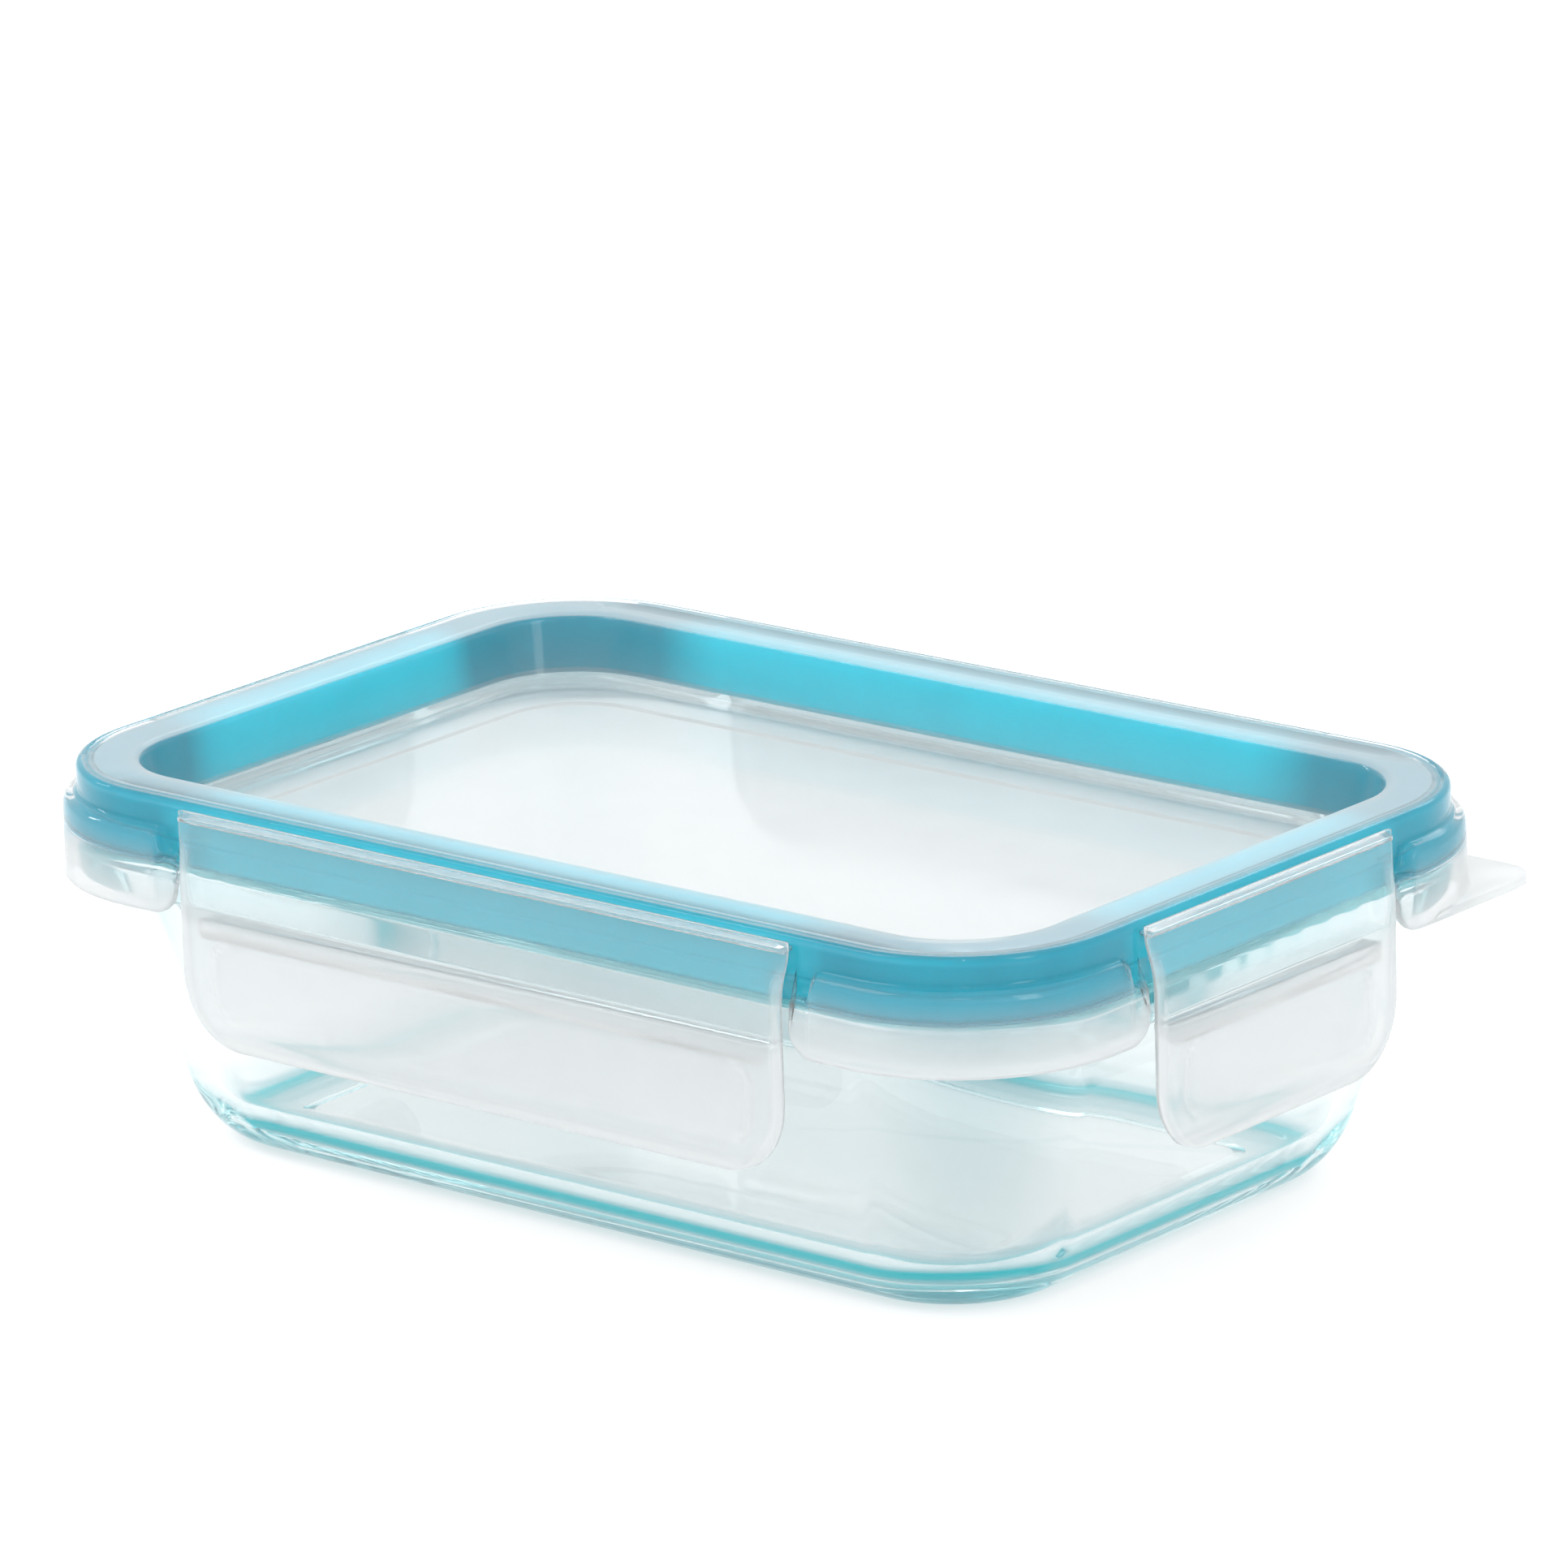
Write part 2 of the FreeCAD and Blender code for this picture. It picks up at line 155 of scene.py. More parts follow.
def makeHandlingMarks():
    # fine scratches, soft smudges and a slow ripple, shared by every finish
    group = bpy.data.node_groups.new("handlingMarks", "ShaderNodeTree")
    face = group.interface
    for label, value in (("Scale", 1.0), ("Smudge", 0.1), ("Scratch", 0.1), ("Ripple", 0.1)):
        socket = face.new_socket(name=label, in_out="INPUT", socket_type="NodeSocketFloat")
        socket.default_value = value
    face.new_socket(name="Roughness", in_out="OUTPUT", socket_type="NodeSocketFloat")
    face.new_socket(name="Height", in_out="OUTPUT", socket_type="NodeSocketFloat")
    face.new_socket(name="Mask", in_out="OUTPUT", socket_type="NodeSocketFloat")
    t = Tree(group)
    source, sink = t.add("NodeGroupInput", -900), t.add("NodeGroupOutput", 700)
    coords = t.add("ShaderNodeTexCoord", -900, -300)
    scaled = t.add("ShaderNodeVectorMath", -650, -200, operation="SCALE")
    t.link(coords.outputs["Object"], scaled.inputs[0])
    t.link(source.outputs["Scale"], scaled.inputs["Scale"])
    # smudges: two octaves of soft noise
    smudge = t.add("ShaderNodeTexNoise", -400, 200)
    smudge.inputs["Scale"].default_value, smudge.inputs["Detail"].default_value = 38, 3
    t.link(scaled.outputs[0], smudge.inputs["Vector"])
    soft = t.add("ShaderNodeMapRange", -200, 200)
    soft.inputs["From Min"].default_value, soft.inputs["From Max"].default_value = 0.45, 0.75
    t.link(smudge.outputs["Fac"], soft.inputs["Value"])
    # scratches: stretched noise cut to thin lines
    stretch = t.add("ShaderNodeMapping", -650, -500)
    stretch.inputs["Scale"].default_value = (260, 900, 700)
    stretch.inputs["Rotation"].default_value = (0.2, 0.1, 0.7)
    t.link(scaled.outputs[0], stretch.inputs["Vector"])
    lines = t.add("ShaderNodeTexNoise", -400, -500)
    lines.inputs["Scale"].default_value, lines.inputs["Detail"].default_value = 1.0, 2
    t.link(stretch.outputs[0], lines.inputs["Vector"])
    cut = t.add("ShaderNodeMapRange", -200, -500)
    cut.inputs["From Min"].default_value, cut.inputs["From Max"].default_value = 0.68, 0.74
    t.link(lines.outputs["Fac"], cut.inputs["Value"])
    # ripple: slow waviness of a moulded or pressed wall
    wave = t.add("ShaderNodeTexNoise", -400, -150)
    wave.inputs["Scale"].default_value, wave.inputs["Detail"].default_value = 55, 1
    t.link(scaled.outputs[0], wave.inputs["Vector"])

    def combine(operation, a, b, x, y):
        node = t.add("ShaderNodeMath", x, y, operation=operation)
        t.link(a, node.inputs[0])
        t.link(b, node.inputs[1])
        return node.outputs[0]

    smudged = combine("MULTIPLY", soft.outputs[0], source.outputs["Smudge"], 0, 200)
    scratched = combine("MULTIPLY", cut.outputs[0], source.outputs["Scratch"], 0, -500)
    rippled = combine("MULTIPLY", wave.outputs["Fac"], source.outputs["Ripple"], 0, -150)
    t.link(combine("ADD", smudged, scratched, 250, 100), sink.inputs["Roughness"])
    t.link(combine("ADD", rippled, scratched, 250, -250), sink.inputs["Height"])
    t.link(soft.outputs[0], sink.inputs["Mask"])
    return group


handlingMarks = makeHandlingMarks()


def addMarks(t, scale, smudge, scratch, ripple):
    marks = t.add("ShaderNodeGroup", -700, -200)
    marks.node_tree = handlingMarks
    for label, value in (("Scale", scale), ("Smudge", smudge), ("Scratch", scratch), ("Ripple", ripple)):
        marks.inputs[label].default_value = value
    return marks


def addBump(t, height, strength, distance, shader):
    bump = t.add("ShaderNodeBump", -300, -400)
    bump.inputs["Strength"].default_value = strength
    bump.inputs["Distance"].default_value = distance
    t.link(height, bump.inputs["Height"])
    t.link(bump.outputs[0], shader.inputs["Normal"])


def addRoughness(t, marks, base, shader):
    total = t.add("ShaderNodeMath", -450, -100, operation="ADD")
    total.inputs[1].default_value = base
    total.use_clamp = True
    t.link(marks.outputs["Roughness"], total.inputs[0])
    t.link(total.outputs[0], shader.inputs["Roughness"])


glassSet = {"ior": 1.5, "roughness": 0.012, "tint": (0.30, 0.90, 0.92), "density": 4.5,
            "edgeFrom": 0.64, "edgeTo": 0.96, "face": (1.0, 1.0, 1.0),
            "edge": (0.08, 0.64, 0.73), "deep": (0.0, 0.36, 0.43)}


def makeGlass():
    mat, t = newMaterial("aquaGlass")
    out = t.add("ShaderNodeOutputMaterial", 400)
    shader = t.add("ShaderNodeBsdfPrincipled", 0)
    shader.inputs["Transmission Weight"].default_value = 1.0
    shader.inputs["IOR"].default_value = glassSet["ior"]
    shader.inputs["Metallic"].default_value = 0.0
    # aqua where the wall is seen edge on, and deeper along the thick heel and the rim
    facing = t.add("ShaderNodeLayerWeight", -900, 300)
    facing.inputs["Blend"].default_value = 0.25
    rim = t.add("ShaderNodeMapRange", -700, 300)
    rim.inputs["From Min"].default_value = glassSet["edgeFrom"]
    rim.inputs["From Max"].default_value = glassSet["edgeTo"]
    t.link(facing.outputs["Facing"], rim.inputs["Value"])
    colour = t.add("ShaderNodeMix", -450, 300, data_type="RGBA")
    colour.inputs["A"].default_value = (*glassSet["face"], 1)
    colour.inputs["B"].default_value = (*glassSet["edge"], 1)
    t.link(rim.outputs[0], colour.inputs["Factor"])
    thick = t.add("ShaderNodeAttribute", -700, 550)
    thick.attribute_name = "thickness"
    deepen = t.add("ShaderNodeMix", -220, 300, data_type="RGBA")
    deepen.inputs["B"].default_value = (*glassSet["deep"], 1)
    t.link(thick.outputs["Fac"], deepen.inputs["Factor"])
    t.link(colour.outputs["Result"], deepen.inputs["A"])
    t.link(deepen.outputs["Result"], shader.inputs["Base Color"])
    marks = addMarks(t, 1.0, 0.02, 0.004, 0.35)
    addRoughness(t, marks, glassSet["roughness"], shader)
    addBump(t, marks.outputs["Height"], 0.10, 0.0005, shader)
    body = t.add("ShaderNodeVolumeAbsorption", 0, -500)
    body.inputs["Color"].default_value = (*glassSet["tint"], 1)
    body.inputs["Density"].default_value = glassSet["density"]
    t.link(shader.outputs[0], out.inputs["Surface"])
    t.link(body.outputs[0], out.inputs["Volume"])
    return mat


plasticSet = {"ior": 1.2, "clearRoughness": 0.07, "milkRoughness": 0.36, "coat": 0.30,
              "coatRoughness": 0.10, "milk": (0.93, 0.945, 0.95), "clear": (0.99, 0.998, 1.0),
              "edgeMilk": 0.22, "milkIor": 1.45, "glow": 0.45, "cloudScale": 26, "cloudSpread": 0.15}


def makePlastic(name, base, gain):
    # milky translucent plastic: the clear shader shows what is behind, the milky one veils it
    mat, t = newMaterial(name)
    out = t.add("ShaderNodeOutputMaterial", 700)
    clear = t.add("ShaderNodeBsdfPrincipled", 0, 300)
    clear.inputs["Transmission Weight"].default_value = 1.0
    clear.inputs["IOR"].default_value = plasticSet["ior"]
    clear.inputs["Base Color"].default_value = (*plasticSet["clear"], 1)
    clear.inputs["Coat Weight"].default_value = plasticSet["coat"]
    clear.inputs["Coat Roughness"].default_value = plasticSet["coatRoughness"]
    milky = t.add("ShaderNodeBsdfPrincipled", 0, -300)
    milky.inputs["IOR"].default_value = plasticSet["milkIor"]
    marks = addMarks(t, 1.4, 0.10, 0.05, 0.14)
    addRoughness(t, marks, plasticSet["clearRoughness"], clear)
    addRoughness(t, marks, plasticSet["milkRoughness"], milky)
    addBump(t, marks.outputs["Height"], 0.10, 0.0004, clear)
    addBump(t, marks.outputs["Height"], 0.14, 0.0004, milky)
    # flow clouds: the moulding is a little denser in places
    coords = t.add("ShaderNodeTexCoord", -1300, 0)
    clouds = t.add("ShaderNodeTexNoise", -1100, 0)
    clouds.inputs["Scale"].default_value = plasticSet["cloudScale"]
    clouds.inputs["Detail"].default_value = 2
    t.link(coords.outputs["Object"], clouds.inputs["Vector"])
    cloudy = t.add("ShaderNodeMapRange", -900, 0)
    cloudy.inputs["To Min"].default_value = 1 - plasticSet["cloudSpread"]
    cloudy.inputs["To Max"].default_value = 1 + plasticSet["cloudSpread"]
    t.link(clouds.outputs["Fac"], cloudy.inputs["Value"])
    shade = t.add("ShaderNodeMix", -300, -150, data_type="RGBA")
    shade.inputs["A"].default_value = (*[c * 0.96 for c in plasticSet["milk"]], 1)
    shade.inputs["B"].default_value = (*plasticSet["milk"], 1)
    t.link(clouds.outputs["Fac"], shade.inputs["Factor"])
    t.link(shade.outputs["Result"], milky.inputs["Base Color"])
    glow = t.add("ShaderNodeBsdfTranslucent", 0, -700)
    t.link(shade.outputs["Result"], glow.inputs["Color"])
    veil = t.add("ShaderNodeMixShader", 250, -350)
    veil.inputs[0].default_value = plasticSet["glow"]
    t.link(milky.outputs[0], veil.inputs[1])
    t.link(glow.outputs[0], veil.inputs[2])
    # how milky: the piece's own mask, times the clouds, and more where seen edge on
    mask = t.add("ShaderNodeAttribute", -900, 500)
    mask.attribute_name = "milk"
    level = t.add("ShaderNodeMath", -650, 500, operation="MULTIPLY_ADD")
    level.inputs[1].default_value, level.inputs[2].default_value = gain, base
    t.link(mask.outputs["Fac"], level.inputs[0])
    dense = t.add("ShaderNodeMath", -450, 500, operation="MULTIPLY")
    t.link(level.outputs[0], dense.inputs[0])
    t.link(cloudy.outputs[0], dense.inputs[1])
    facing = t.add("ShaderNodeLayerWeight", -900, 750)
    facing.inputs["Blend"].default_value = 0.3
    steep = t.add("ShaderNodeMath", -650, 750, operation="POWER")
    steep.inputs[1].default_value = 3.0
    t.link(facing.outputs["Facing"], steep.inputs[0])
    edge = t.add("ShaderNodeMath", -450, 750, operation="MULTIPLY_ADD")
    edge.inputs[1].default_value = plasticSet["edgeMilk"]
    edge.use_clamp = True
    t.link(steep.outputs[0], edge.inputs[0])
    t.link(dense.outputs[0], edge.inputs[2])
    blendShader = t.add("ShaderNodeMixShader", 450)
    t.link(edge.outputs[0], blendShader.inputs[0])
    t.link(clear.outputs[0], blendShader.inputs[1])
    t.link(veil.outputs[0], blendShader.inputs[2])
    t.link(blendShader.outputs[0], out.inputs["Surface"])
    return mat


# corner: the gasket's teal where no latch covers it; straight: that teal painted lighter, painted light
# that makes up for the shade of the closed latches
siliconeSet = {"corner": (0.0, 0.27, 0.39), "straight": (0.0, 0.68, 0.86), "roughness": 0.30,
               "ior": 1.36, "mottleScale": 90, "mottle": 0.25}


def makeSilicone():
    mat, t = newMaterial("tealSilicone")
    out = t.add("ShaderNodeOutputMaterial", 400)
    shader = t.add("ShaderNodeBsdfPrincipled", 0)
    shader.inputs["IOR"].default_value = siliconeSet["ior"]
    marks = addMarks(t, 1.0, 0.12, 0.05, 0.6)
    coords = t.add("ShaderNodeTexCoord", -900, 300)
    noise = t.add("ShaderNodeTexNoise", -700, 300)
    noise.inputs["Scale"].default_value = siliconeSet["mottleScale"]
    noise.inputs["Detail"].default_value = 3
    t.link(coords.outputs["Object"], noise.inputs["Vector"])
    # mottled, and lighter along the straights to make up for the shade of the closed latches
    along = t.add("ShaderNodeAttribute", -700, 550)
    along.attribute_name = "straight"
    mottle = t.add("ShaderNodeMath", -500, 450, operation="MULTIPLY_ADD")
    mottle.inputs[1].default_value = siliconeSet["mottle"]
    mottle.use_clamp = True
    t.link(noise.outputs["Fac"], mottle.inputs[0])
    t.link(along.outputs["Fac"], mottle.inputs[2])
    colour = t.add("ShaderNodeMix", -300, 300, data_type="RGBA")
    colour.inputs["A"].default_value = (*siliconeSet["corner"], 1)
    colour.inputs["B"].default_value = (*siliconeSet["straight"], 1)
    t.link(mottle.outputs[0], colour.inputs["Factor"])
    t.link(colour.outputs["Result"], shader.inputs["Base Color"])
    addRoughness(t, marks, siliconeSet["roughness"], shader)
    addBump(t, marks.outputs["Height"], 0.2, 0.0003, shader)
    t.link(shader.outputs[0], out.inputs["Surface"])
    return mat


def makeFloor():
    mat, t = newMaterial("paleFloor")
    out = t.add("ShaderNodeOutputMaterial", 300)
    shader = t.add("ShaderNodeBsdfPrincipled", 0)
    shader.inputs["Roughness"].default_value = 0.7
    shader.inputs["Specular IOR Level"].default_value = 0.1
    shader.inputs["Emission Color"].default_value = (1, 1, 1, 1)
    shader.inputs["Emission Strength"].default_value = lightSet["tableGlow"]
    noise = t.add("ShaderNodeTexNoise", -500)
    noise.inputs["Scale"].default_value = 4
    mix = t.add("ShaderNodeMix", -250, data_type="RGBA")
    mix.inputs["A"].default_value = (*[c * 0.995 for c in lightSet["floor"]], 1)
    mix.inputs["B"].default_value = (*lightSet["floor"], 1)
    t.link(noise.outputs["Fac"], mix.inputs["Factor"])
    t.link(mix.outputs["Result"], shader.inputs["Base Color"])
    t.link(shader.outputs[0], out.inputs["Surface"])
    return mat


glass = makeGlass()
lidPlastic = makePlastic("milkyLidPlastic", 0.01, 0.55)
latchPlastic = makePlastic("milkyLatchPlastic", 0.04, 0.50)
silicone = makeSilicone()
print("materials made")


def buildMesh(name, verts, faces, material, milk=None, mask="milk"):
    mesh = bpy.data.meshes.new(name)
    mesh.from_pydata([[c * mm for c in v] for v in verts], [], faces)
    if milk is not None:
        layer = mesh.attributes.new(mask, "FLOAT", "POINT")
        layer.data.foreach_set("value", milk)
    mesh.validate()
    mesh.shade_smooth()
    mesh.materials.append(material)
    piece = bpy.data.objects.new(name, mesh)
    bpy.context.scene.collection.objects.link(piece)
    return piece


def smooth(x, low, high):
    # 0 below low, 1 above high, eased between
    x = min(1.0, max(0.0, (x - low) / (high - low)))
    return x * x * (3 - 2 * x)


def perimeter(longStops, shortStops, cornerSteps):
    # samples (cx, cy, ux, uy) counter-clockwise: a point is c times the straight half
    # lengths plus the corner radius times the outward direction u
    samples = []
    sides = [((0, -1), longStops), ((1, 0), shortStops), ((0, 1), longStops), ((-1, 0), shortStops)]
    for k, ((ux, uy), stops) in enumerate(sides):
        for s in stops:
            samples.append((s, uy, ux, uy) if k == 0 else (ux, s, ux, uy) if k == 1
                           else (-s, uy, ux, uy) if k == 2 else (ux, -s, ux, uy))
        cx, cy = ((1, -1), (1, 1), (-1, 1), (-1, -1))[k]
        start = (-90, 0, 90, 180)[k]
        for i in range(1, cornerSteps):
            angle = math.radians(start + 90 * i / cornerSteps)
            samples.append((cx, cy, math.cos(angle), math.sin(angle)))
    return samples


def outlinePoint(sample, a, b, r, z):
    cx, cy, ux, uy = sample
    return (cx * (a - r) + ux * r, cy * (b - r) + uy * r, z)


def evenStops(count):
    return [-1 + 2 * i / count for i in range(count + 1)]


def soften(points, steps=6):
    # rounds the corners of a profile whose points are (a, b, r, z, fillet)
    out = []
    for i, point in enumerate(points):
        here, radius = Vector(point[:4]), point[4]
        if radius <= 0 or i in (0, len(points) - 1):
            out.append(tuple(here))
            continue
        before, after = Vector(points[i - 1][:4]), Vector(points[i + 1][:4])
        inward, outward = before - here, after - here
        p = Vector((inward[0], inward[3]))
        q = Vector((outward[0], outward[3]))
        turn = math.pi - p.angle(q)
        cut = radius * math.tan(turn / 2)
        start = here + inward * min(0.49, cut / max(p.length, 1e-9))
        end = here + outward * min(0.49, cut / max(q.length, 1e-9))
        pull = 4 / 3 * math.tan(turn / 4) / max(math.tan(turn / 2), 1e-9)
        c1, c2 = start.lerp(here, pull), end.lerp(here, pull)
        for k in range(steps + 1):
            s = k / steps
            out.append(tuple(start * (1 - s) ** 3 + c1 * 3 * s * (1 - s) ** 2
                             + c2 * 3 * s * s * (1 - s) + end * s ** 3))
    return out


def ringLoft(name, samples, rings, material, closed=False, milk=None, mask="milk"):
    # rings: for each station, one point per sample; caps both ends unless closed
    n = len(samples)
    verts = [p for ring in rings for p in ring]
    faces = []
    count = len(rings)
    for k in range(count if closed else count - 1):
        low, high = k * n, (k + 1) % count * n
        for j in range(n):
            i = (j + 1) % n
            faces.append((low + j, low + i, high + i, high + j))
    if not closed:
        faces.append(tuple(range(n - 1, -1, -1)))
        faces.append(tuple(range((count - 1) * n, count * n)))
    return buildMesh(name, verts, faces, material, milk, mask)


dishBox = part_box("glass_dish")
dishSet = {"footHalf": (80.30, 49.10), "footRadius": 20.6, "mouthRadius": 25.0, "heel": 13.0,
           "draft": math.tan(math.radians(14.5)), "wall": 4.4, "floor": 4.6, "flangeHeight": 6.2,
           "flangeHalf": (94.3, 61.8), "flangeRadius": 24.3, "underRound": 0.7, "rimRound": 1.5,
           "neckFillet": 1.0, "innerHeel": 9.0, "footPush": 0.5, "footWidth": 5.0}


def makeDish():
    d = dishSet
    ax, ay = d["footHalf"]
    rimTop = dishBox[1].z / mm
    under = rimTop - d["flangeHeight"]
    run = under * d["draft"]
    grow = (d["mouthRadius"] - d["footRadius"]) / run

    def wallAt(z, inside=0.0):
        x = z * d["draft"] - inside
        return (ax + x, ay + x, d["footRadius"] + grow * z * d["draft"] - inside, z)

    def flat(inset, z, fillet=0.0):
        return (ax - inset, ay - inset, max(1.5, d["footRadius"] - inset), z, fillet)

    heelReach = d["heel"] * math.tan((math.pi / 2 - math.atan(d["draft"])) / 2)
    fx, fy = d["flangeHalf"]
    push, land = d["footPush"], heelReach + d["footWidth"]
    profile = [flat(land + 3.0, push), flat(land + 2.0, push, 0.8), flat(land, 0.0, 0.8),
               flat(0, 0, d["heel"]),
               (*wallAt(under), d["neckFillet"]),
               (fx, fy, d["flangeRadius"], under, d["underRound"]),
               (fx, fy, d["flangeRadius"], rimTop, d["rimRound"]),
               (*wallAt(rimTop, d["wall"]), d["rimRound"]),
               (*wallAt(d["floor"], d["wall"]), d["innerHeel"])]
    inner = wallAt(d["floor"], d["wall"])
    profile.append((inner[0] - 14, inner[1] - 14, 8.0, d["floor"], 0.0))
    profile.append((inner[0] - 15, inner[1] - 15, 7.0, d["floor"], 0.0))
    stations = soften(profile, 9)
    samples = perimeter(evenStops(16), evenStops(12), 18)
    rings = [[outlinePoint(s, *st) for s in samples] for st in stations]
    # how deep the colour is: strong round the heel, a little at the corners and the rim
    thick, rimAt = [], len(stations) - 23  # stations past rimAt run down the inside
    for k, st in enumerate(stations):
        a, b, r, z = st
        inside = k > rimAt and z < rimTop - 2
        heel = 0.80 * (1 - smooth(z, 0.1, 2.4)) + 0.30 * (1 - smooth(z, 1.5, 9.0))
        heel = heel * (0.08 if inside else 1.0) * smooth(a, ax - 20, ax - 9)
        rimTint = 0.32 * smooth(z, under - 0.5, under + 0.5) if not inside else 0
        for cx, cy, ux, uy in samples:
            corner = 0.20 * (abs(ux * uy) * 2) ** 1.5 * (0.2 if inside else 1.0)
            thick.append(min(1.0, heel + rimTint + corner * (1 - heel)))
    dish = ringLoft("glassDish", samples, rings, glass, milk=thick, mask="thickness")
    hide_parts("glass_dish")
    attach(dish, "dish")
    return dish


makeDish()
print("dish made")

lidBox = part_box("lid")
lidSet = {"half": (95.0, 62.5), "radius": 25.0, "band": 9.8, "wall": 1.3, "top": 1.5, "edge": 1.0,
          "bandEdge": 1.6, "recess": 10.8, "draft": 1.7, "panel": 1.5, "plug": 1.5,
          "panelInset": 20.5, "panelRadius": 12.0, "panelStep": 0.4, "skirt": 1.3, "skirtOffset": 1.1,
          "shoulderDrop": 4.5, "endRound": 4.6, "slit": 0.8, "longLatch": 117.0, "shortLatch": 58.0,
          "tabReach": 2.6, "tabRadius": 6.0, "tabThickness": 1.5, "seat": 0.5}


def tabOut(x, y):
    # how far the pull tab stands out at an outward direction in its corner
    reach, r = lidSet["radius"] + lidSet["tabReach"], lidSet["tabRadius"]
    inner = reach - r
    big, small = max(x, y), min(x, y)
    straight = reach / big
    if small * straight <= inner:
        return straight - lidSet["radius"]
    along = inner * (big + small)
    return along + math.sqrt(max(0.0, along * along - 2 * inner * inner + r * r)) - lidSet["radius"]


def makeLid():
    d = lidSet
    a, b = d["half"]
    r = d["radius"]
    top = lidBox[1].z / mm - 0.002  # a hair inside the solid
    bottom = lidBox[0].z / mm
    rim = dishBox[1].z / mm
    ridgeFoot, channel = rim + d["seat"], top - d["top"]
    floor = top - d["recess"]
    under = floor - d["panel"]
    shoulder = top - d["shoulderDrop"]

    def inset(i, z, fillet=0.0, radius=None):
        return (a - i, b - i, max(radius if radius is not None else r - i, 1.0), z, fillet)

    # stops along the straights, crowded at the ends of each skirt
    ends = (0.0, 0.04, 0.25, 0.6, 1.2, 2.0, 3.0, 3.6, 4.2, 5.0)

    def stops(straight, latch):
        edge = latch / 2 + d["slit"]
        outer = [edge + e for e in ends if edge + e < straight - 0.3]
        middle = [edge * (-1 + 2 * i / 12) for i in range(1, 12)]
        line = [-x for x in reversed(outer)] + middle + outer
        return [-1.0] + [x / straight for x in line] + [1.0]

    longStops, shortStops = stops(a - r, d["longLatch"]), stops(b - r, d["shortLatch"])
    samples = perimeter(longStops, shortStops, 22)

    def skirtState(s):
        # distance from the skirt's end, or None beside a latch
        cx, cy, ux, uy = s
        if uy and not ux:
            along, edge = abs(cx) * (a - r), d["longLatch"] / 2 + d["slit"]
        elif ux and not uy:
            along, edge = abs(cy) * (b - r), d["shortLatch"] / 2 + d["slit"]
        else:
            return 20.0
        return along - edge if along > edge - 0.001 and along - edge > 0.02 else None

    def tabAt(s):
        cx, cy, ux, uy = s
        if cx <= 0 or cy <= 0:
            return 0.0
        if ux and uy:
            return tabOut(ux, uy) if min(ux, uy) > 0 else 0.0
        if ux:
            return d["tabReach"] * smooth(cy * (b - r), b - r - 7.2, b - r - 2)
        return d["tabReach"] * smooth(cx * (a - r), a - r - 10, a - r - 2)

    def skirtRings(s):
        # the outer wall from its foot to the shoulder, as (outset, z) pairs
        dist, wide = skirtState(s), d["skirt"] + d["skirtOffset"]
        if dist is None:
            line = [ridgeFoot + (shoulder - ridgeFoot) * i / 15 for i in range(16)]
            return [(0.0 if i else -0.25, z) for i, z in enumerate(line)]
        full = smooth(dist, -0.3, 0.7)
        inner, outer = d["skirtOffset"] - 0.2 + 0.3 * (1 - full), wide - 0.3 * (1 - full)
        ending = d["endRound"]
        low = bottom + (ending - math.sqrt(ending ** 2 - (ending - dist) ** 2) if dist < ending else 0)
        out = tabAt(s) if dist > 0 else 0.0
        thick = d["tabThickness"] if out > wide + 0.2 else 0.55
        ledge = smooth(dist, 3.3, 4.0)
        high = shoulder - 3.6 * (1 - ledge)
        reach = max(out, outer)
        return [(inner, ridgeFoot - 0.25), (inner, low + 0.45), (inner + 0.12, low + 0.12),
                (inner + 0.4, low), (max(reach - 0.45, inner + 0.6), low),
                (reach - 0.1, low + 0.14), (reach, low + thick / 2),
                (reach - 0.1, low + thick - 0.14), (max(reach - 0.45, outer), low + thick),
                (outer + (0.35 if out > wide + 0.2 else 0), low + thick + 0.02),
                (outer, low + thick + 0.4), (outer - 0.25, high - 1.9), (outer - 0.45, high - 1.1),
                (outer - 0.9, high - 0.42), (max(0.3, outer - 1.7), high - 0.1), (0.0, high + 0.12)]

    head = soften([inset(d["panelInset"] + 3, under), inset(d["band"] + d["draft"] - d["plug"], under, 1.2),
                   inset(d["band"] - d["plug"], channel, 0.5), inset(d["wall"], channel, 0.5),
                   inset(d["wall"], ridgeFoot, 0.4), inset(0.35, ridgeFoot)], 4)
    tail = soften([inset(0, shoulder + 0.7), inset(0, top, d["edge"]), inset(1.6, top, 0.01),
                   inset(2.8, top, 0.01), inset(d["band"], top, d["bandEdge"]),
                   inset(d["band"] + d["draft"], floor, 2.2),
                   inset(d["panelInset"] - 0.5, floor, 0.25, d["panelRadius"] + 0.5),
                   inset(d["panelInset"], floor - d["panelStep"], 0.25, d["panelRadius"]),
                   inset(d["panelInset"] + 6, floor - d["panelStep"], 0, 9.0),
                   inset(d["panelInset"] + 7, floor - d["panelStep"], 0, 8.0)], 6)

    def milkAt(i, z):
        # clear walls over the gasket, milky flat panel, ledge and skirt edges
        if i > d["band"] + 0.6:
            return 0.35 + 0.65 * smooth(i, d["band"] + 1.4, d["panelInset"] - 4)
        if i > 0.8:
            return 1.1 * smooth(i, 1.2, 2.6) if z > top - 0.4 else 0.14
        return 0.01 + 0.97 * (1 - smooth(z, bottom + 0.8, bottom + 7.4)) + 0.16 * smooth(-i, 0.9, 2.2)

